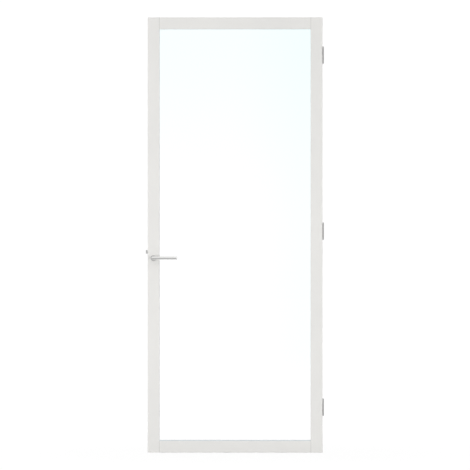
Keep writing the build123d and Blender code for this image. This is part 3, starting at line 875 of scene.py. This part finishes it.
# Forend
OPENING_PLAY = 0.2 * MM
FOREND_BREAK = 0.2 * MM

# Bolt: size of its head, how far outside the forend its bevel starts and the flat left at the tip,
# its rounded edges, and its shank and tail
BOLT_HEAD_LEN = 19 * MM
BOLT_HEAD_TALL = 20 * MM
BEVEL_START = 1 * MM
TIP_FLAT = 3 * MM
BOLT_HEAD_BREAK = 0.7 * MM
BOLT_HEAD_TURN = math.radians(20)
SHANK_HALF = 3 * MM
SHANK_ROOT = 1 * MM
SHANK_BREAK = 0.2 * MM
TAIL_LEN = 2.5 * MM


def forend_screw_heights():
    """Heights of the forend's end screws and of the two into the case."""
    low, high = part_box("forend")
    case_low, case_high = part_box("latch_case")
    ends = (low.z + END_SCREW_IN, high.z - END_SCREW_IN)
    inner = (case_low.z + CASE_SCREW_IN, case_high.z - CASE_SCREW_IN)
    return ends, inner


def bolt_head_box():
    """Lowest and highest corners of the bolt's head."""
    low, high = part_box("latch_bolt")
    head_low = Vector((low.x, low.y, high.z - BOLT_HEAD_TALL))
    return head_low, Vector((low.x + BOLT_HEAD_LEN, high.y, high.z))


def forend_strip():
    """Face strip pierced for the bolt and countersunk for its screws."""
    low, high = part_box("forend")
    strip = add_box("forend_finished", low, high)
    head_low, head_high = bolt_head_box()
    play = Vector((OVERRUN, OPENING_PLAY, OPENING_PLAY))
    combine(strip, add_box("opening", head_low - play, head_high + play), "DIFFERENCE")
    for pair in forend_screw_heights():
        for z in pair:
            sink = sink_cutter(EDGE_SCREW_R, EDGE_HEAD_R, (low.x, 0, z), 1, FOREND_HOLE_DEPTH)
            combine(strip, sink, "DIFFERENCE")
    return break_edges(strip, FOREND_BREAK, segments=2)


def bolt():
    """Bevelled head with rounded edges, its shank and its tail."""
    low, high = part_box("latch_bolt")
    head_low, head_high = bolt_head_box()
    edge_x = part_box("forend")[0].x
    head = add_box("latch_bolt_finished", head_low, head_high)
    bevel_start = Vector((edge_x - BEVEL_START, head_low.y, head_low.z))
    bevel_end = Vector((head_low.x, head_high.y - TIP_FLAT, head_low.z))
    run = (bevel_end - bevel_start).normalized()
    trim(head, bevel_start, (-run.y, run.x, 0))
    break_edges(head, BOLT_HEAD_BREAK, segments=3, turn=BOLT_HEAD_TURN)
    middle_z = (head_low.z + head_high.z) / 2
    shank = add_box("shank", (head_high.x - SHANK_ROOT, -SHANK_HALF, middle_z - SHANK_HALF),
                    (high.x, SHANK_HALF, middle_z + SHANK_HALF))
    tail = add_box("tail", (high.x - TAIL_LEN, -SHANK_HALF, low.z), (high.x, SHANK_HALF, middle_z))
    combine(shank, tail, "UNION")
    break_edges(shank, SHANK_BREAK, segments=1)
    return combine(head, shank, "UNION")


def latch_edge_pieces():
    """Forend, bolt and the screws in the leaf's latch edge."""
    hand_over(forend_strip(), "leaf", "hinge_steel", "forend")
    hand_over(bolt(), "latch", "hinge_steel", "latch_bolt")
    face_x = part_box("latch_stile")[0].x
    ends, inner = forend_screw_heights()
    places = [(face_x, 0, z) for z in ends + inner]
    screw = countersunk_screw(EDGE_SCREW_R, EDGE_HEAD_R)
    screws = placed_screws("forend_screws_finished", screw, places, -1)
    hand_over(screws, "leaf", "hinge_steel", "forend_screws")
    low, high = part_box("forend")
    levels = (low.z - BRACKET_SCREW_OUT, high.z + BRACKET_SCREW_OUT)
    places = [(face_x, y, z) for z in levels for y in (-BRACKET_SCREW_Y, BRACKET_SCREW_Y)]
    screw = countersunk_screw(EDGE_SCREW_R, EDGE_HEAD_R)
    screws = placed_screws("bracket_screws_finished", screw, places, -1, BRACKET_SCREW_TURN)
    hand_over(screws, "leaf", "hinge_steel", "bracket_screws")


# Edge plugs

# Flange, and the stem: how far it is set in, its length and its tip's length
PLUG_R = 8.5 * MM
PLUG_FLANGE_T = 0.6 * MM
PLUG_SIDES = 48
STEM_IN = 1.6 * MM
STEM_LEN = 3.05 * MM
STEM_TIP = 0.6 * MM

# Rounding of the flange, and the shallow dish in its middle
FLANGE_ROUND = 0.45 * MM
DISH_IN = 2.4 * MM
DISH_SLOPE = 0.5 * MM
DISH_DEPTH = 0.15 * MM
DISH_FACING = 0.99

# Distance between the two plugs of a pair
PLUG_STEP = 20 * MM


def edge_plug():
    """Snap-in plug with a thin rounded flange, its outer side facing +Z from Z=0."""
    plug = add_bar("plug", PLUG_R, (0, 0, 0), (0, 0, PLUG_FLANGE_T), PLUG_SIDES)
    top = PLUG_FLANGE_T - NEAR
    open_mesh(plug)
    pick_faces(plug, lambda c, n: n.z < -FACING)
    bpy.ops.mesh.inset(thickness=STEM_IN)
    extrude_by(0, 0, -STEM_LEN)
    extrude_by(0, 0, -STEM_TIP)
    pick_edges(plug, lambda a, b: min(a.z, b.z) > top)
    round_off(FLANGE_ROUND, segments=4)
    pick_faces(plug, lambda c, n: n.z > DISH_FACING and c.z > top)
    bpy.ops.mesh.inset(thickness=DISH_IN)
    bpy.ops.mesh.inset(thickness=DISH_SLOPE)
    bpy.ops.transform.translate(value=(0, 0, -DISH_DEPTH))
    close_mesh()
    return plug


def plug_pieces():
    """Plugs over the access holes in both edges of the leaf."""
    low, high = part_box("edge_plugs")
    bottom, top = low.z + PLUG_R, high.z - PLUG_R
    heights = (bottom, bottom + PLUG_STEP, top - PLUG_STEP, top)
    model = edge_plug()
    copies = []
    for side, face_x in ((-1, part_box("latch_stile")[0].x), (1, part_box("hinge_stile")[1].x)):
        for z in heights:
            place = Matrix.Translation((face_x, 0, z)) @ turned_to(side)
            copies.append(copy_of(model, "plug", place))
    bpy.data.objects.remove(model, do_unlink=True)
    plugs = gather(copies, "edge_plugs_finished")
    hand_over(plugs, "leaf", "white_nylon", "edge_plugs")


# Springs of the latch

# Wire, the gap between a coil and its solid's outline, and how far each spring is pressed at its
# joint's limit
WIRE_R = 0.42 * MM
WIRE_SIDES = 10
WIRE_STEPS = 28
COIL_GAP = 0.1 * MM
BOLT_TRAVEL = 11.9 * MM
ARM_TRAVEL = 10.6 * MM

# Turns of the two springs, and the end that stays where it is
BOLT_SPRING_TURNS = 5
ARM_SPRING_TURNS = 7
LOW_END, HIGH_END = 0, 1


def wound_spring(name, node, turns):
    """Round-wire compression spring along X, in the place of its solid."""
    low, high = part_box(node)
    coil_r = (high.y - low.y) / 2 - WIRE_R - COIL_GAP
    bpy.ops.object.select_all(action="DESELECT")
    bpy.ops.mesh.primitive_circle_add(vertices=WIRE_SIDES, radius=WIRE_R, location=(0, coil_r, 0))
    spring = settle(bpy.context.object, name)
    winding = spring.modifiers.new("winding", "SCREW")
    winding.axis = "X"
    winding.iterations = turns
    winding.screw_offset = (high.x - low.x - 2 * WIRE_R) / turns
    winding.steps = winding.render_steps = WIRE_STEPS
    bpy.ops.object.modifier_apply(modifier="winding")
    open_mesh(spring)
    bpy.ops.mesh.select_mode(type="EDGE")
    bpy.ops.mesh.select_non_manifold()
    bpy.ops.mesh.fill_holes(sides=0)
    face_outward()
    close_mesh()
    spring.location = (low.x + WIRE_R, (low.y + high.y) / 2, (low.z + high.z) / 2)
    return settle(spring, name)


def spring_pieces():
    """The bolt's spring and the follower's, wound in the places of their solids."""
    for node, turns, joint, travel, still_end in (
            ("latch_spring", BOLT_SPRING_TURNS, "latch_slide", BOLT_TRAVEL, HIGH_END),
            ("follower_spring", ARM_SPRING_TURNS, "lever_turn", ARM_TRAVEL, LOW_END)):
        spring = wound_spring(f"{node}_wound", node, turns)
        hand_over(spring, "leaf", "spring_steel", node)
        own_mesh(spring)


dress_cad_nodes()
handle_pieces()
set_screws()
hinge_pieces()
latch_edge_pieces()
plug_pieces()
spring_pieces()


# Studio

# Camera: distance and depth of view in metres, the photo's size, scale and the leaf's middle in it
VIEW_DISTANCE = 25.0
VIEW_DEPTH = 200
PHOTO_PIXELS = 470
PHOTO_MM_PER_PIXEL = 5.317
PHOTO_CENTRE = (235.07, 235.0)
SIDE_STEP = math.radians(0.83)

# World: what lights the door, the white that is seen, and the walls that metal mirrors, which rise
# from the first level to the second between two heights
AMBIENT = 0.76
SEEN_WHITE = 1.04
WALL_HEIGHTS = (0.25, 0.6)
WALL_LEVELS = (0.6, 1.0)

# Floor: its size and distance below the leaf, its own grey, the white that is seen, its sheen in
# metal, and how the white fades in away from the door
FLOOR_SIZE = 120
FLOOR_GAP = 4 * MM
FLOOR_GREY = (0.5, 0.5, 0.5)
FLOOR_ROUGHNESS = 0.9
FLOOR_GLOW = 1.05
FLOOR_SHEEN = 0.1
FADE_REACH = (0.8, 4.0)
FADE_SHARE = (0.9, 1.0)

# Softboxes: place, aim, size in metres and power in watts
SOFTBOXES = {
    "key_softbox": ((-0.4, -4.6, 3.7), (0, 0, 1.1), (2.8, 2.0), 16),
    "fill_softbox": ((-3.4, -4.2, 0.8), (0, 0, 0.5), (2.4, 1.4), 74),
    "low_softbox": ((2.6, -4.4, 0.5), (0.1, 0, 0.2), (2.0, 0.8), 53),
    "rear_softbox": ((-1.4, 3.6, 4.9), (0, 0, 1.2), (2.4, 1.8), 80),
}


def add_camera():
    """Camera almost square to the door, with the leaf framed as in the photograph."""
    leaf_low, leaf_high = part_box("latch_stile")[0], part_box("hinge_stile")[1]
    look_at = Vector(((leaf_low.x + leaf_high.x) / 2, leaf_low.y, (leaf_low.z + leaf_high.z) / 2))
    data = bpy.data.cameras.new("door_camera")
    camera = bpy.data.objects.new("door_camera", data)
    bpy.context.scene.collection.objects.link(camera)
    away = Vector((math.sin(SIDE_STEP), -math.cos(SIDE_STEP), 0)) * VIEW_DISTANCE
    camera.location = look_at + away
    camera.rotation_euler = (-away).to_track_quat("-Z", "Y").to_euler()
    view_width = PHOTO_PIXELS * PHOTO_MM_PER_PIXEL * MM
    data.lens = data.sensor_width * VIEW_DISTANCE / view_width
    data.shift_x = (PHOTO_PIXELS / 2 - PHOTO_CENTRE[0]) / PHOTO_PIXELS
    data.shift_y = (PHOTO_CENTRE[1] - PHOTO_PIXELS / 2) / PHOTO_PIXELS
    data.clip_end = VIEW_DEPTH
    bpy.context.scene.camera = camera


def add_softbox(name, place, aim, size, power):
    """Rectangular lamp that lights the door and isn't seen in the pane or through it."""
    data = bpy.data.lights.new(name, "AREA")
    data.shape = "RECTANGLE"
    data.size, data.size_y = size
    data.energy = power
    lamp = bpy.data.objects.new(name, data)
    lamp.visible_camera = lamp.visible_glossy = lamp.visible_transmission = False
    lamp.location = place
    lamp.rotation_euler = (Vector(aim) - Vector(place)).to_track_quat("-Z", "Y").to_euler()
    bpy.context.scene.collection.objects.link(lamp)


def white_world():
    """White where camera and glass look, walls for metal to mirror, and a plain ambient level."""
    world = bpy.data.worlds.new("white_studio")
    bpy.context.scene.world = world
    world.use_nodes = True
    ray = add_node(world, "LightPath").outputs
    place = add_node(world, "TexCoord").outputs["Generated"]
    split = add_node(world, "SeparateXYZ", {"Vector": place}).outputs
    height = worked(world, "ABSOLUTE", split["Z"])
    wall = ranged(world, height, *WALL_HEIGHTS, *WALL_LEVELS, shape="SMOOTHSTEP")
    level = mixed(world, ray["Is Glossy Ray"], AMBIENT, wall)
    seen = worked(world, "MAXIMUM", ray["Is Camera Ray"], ray["Is Transmission Ray"])
    level = mixed(world, seen, level, SEEN_WHITE)
    back = world.node_tree.nodes["Background"]
    feed(world, back.inputs["Strength"], level)
    feed(world, back.inputs["Color"], (1, 1, 1, 1))


def white_floor():
    """Pale floor that keeps a faint shadow near the door and is white everywhere else."""
    bpy.ops.object.select_all(action="DESELECT")
    bpy.ops.mesh.primitive_plane_add(size=FLOOR_SIZE, location=(0, 0, -FLOOR_GAP))
    floor = bpy.context.object
    floor.name = "studio_floor"
    material = start_material("studio_floor_white", FLOOR_GREY, metallic=0.0,
                              roughness=FLOOR_ROUGHNESS)
    glow = add_node(material, "Emission", {"Strength": FLOOR_GLOW})
    ray = add_node(material, "LightPath").outputs
    away = add_node(material, "VectorMath", {0: spot(material)}, operation="LENGTH")
    fade = ranged(material, away.outputs["Value"], *FADE_REACH, *FADE_SHARE)
    seen = worked(material, "MULTIPLY", ray["Is Camera Ray"], fade)
    sheen = worked(material, "MULTIPLY", ray["Is Glossy Ray"], FLOOR_SHEEN)
    shine = worked(material, "MAXIMUM", sheen, ray["Is Transmission Ray"])
    mix = add_node(material, "MixShader", {
        "Fac": worked(material, "MAXIMUM", seen, shine),
        1: surface(material).outputs["BSDF"],
        2: glow.outputs["Emission"],
    })
    output = material.node_tree.nodes["Material Output"]
    feed(material, output.inputs["Surface"], mix.outputs["Shader"])
    floor.data.materials.append(material)


add_camera()
white_world()
white_floor()
for softbox, values in SOFTBOXES.items():
    add_softbox(softbox, *values)
bpy.context.scene.view_settings.view_transform = "Standard"
